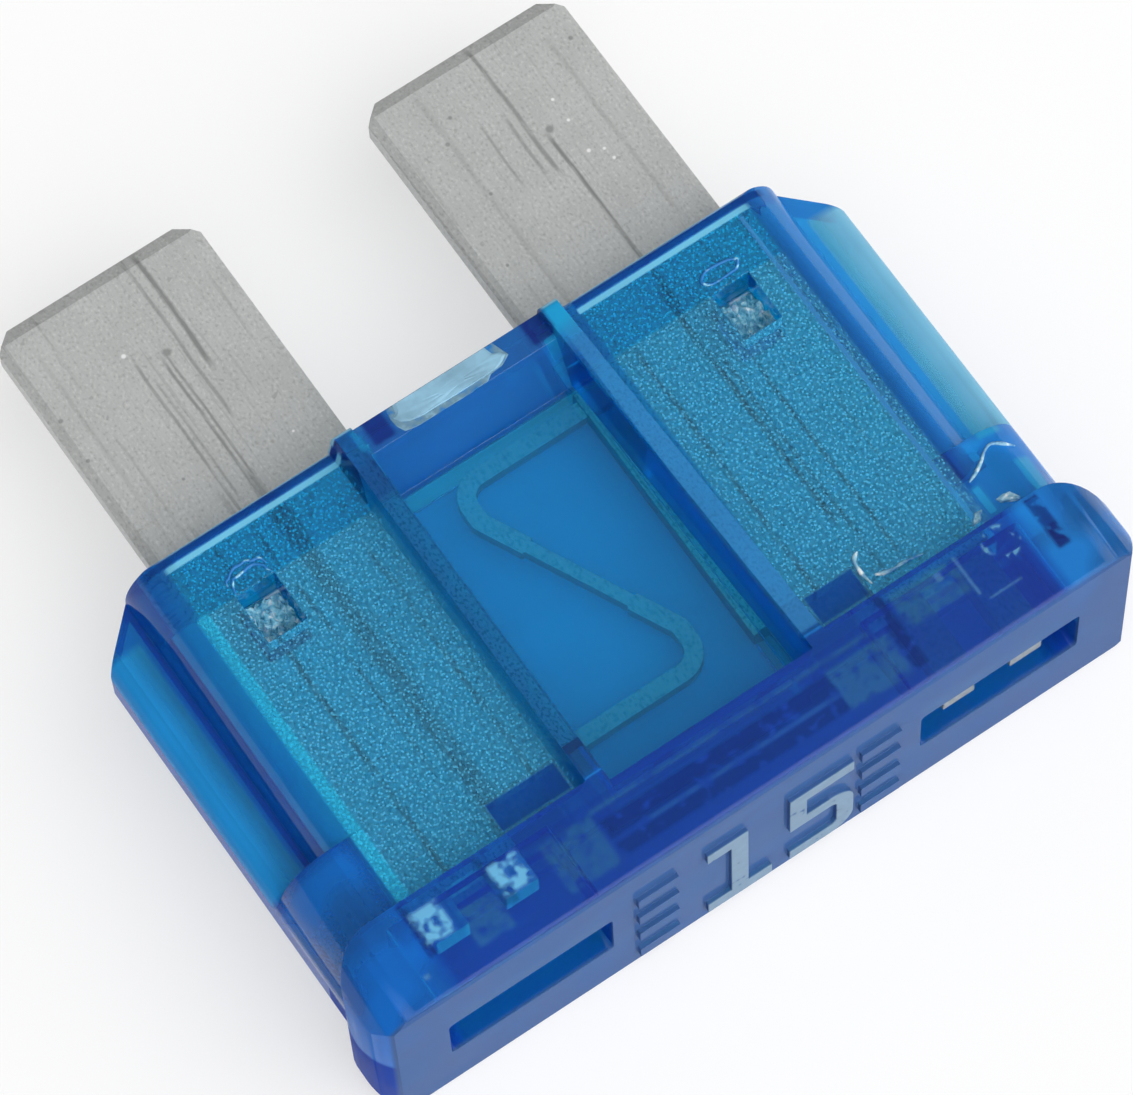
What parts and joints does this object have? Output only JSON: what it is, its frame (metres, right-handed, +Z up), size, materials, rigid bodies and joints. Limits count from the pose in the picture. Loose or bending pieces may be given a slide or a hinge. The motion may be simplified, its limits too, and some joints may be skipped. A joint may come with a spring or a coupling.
{
  "type": "automotive blade fuse",
  "caption": "Flat plug-in fuse: a stamped metal link with two blades, locked in a clear blue moulded housing with a wide head, side flanges and a window over the link.",
  "frame": {"origin": "middle of the area the fuse covers, on the surface it lies on", "axes": "+X across the two blades, +Y from the head towards the blade tips, +Z up through the thickness of the fuse, which lies on one broad face"},
  "size_m": [0.019, 0.0186, 0.0051],
  "materials": {
    "housing": "clear blue polycarbonate, moulded and glossy, with silver paint on the raised rating figures",
    "fuse_element": "plated zinc alloy, dull grey, with fine rolling lines along the blades"
  },
  "bodies": {
    "root": {"housing": "housing", "fuse_element": "fuse_element"}
  },
  "joints": []
}
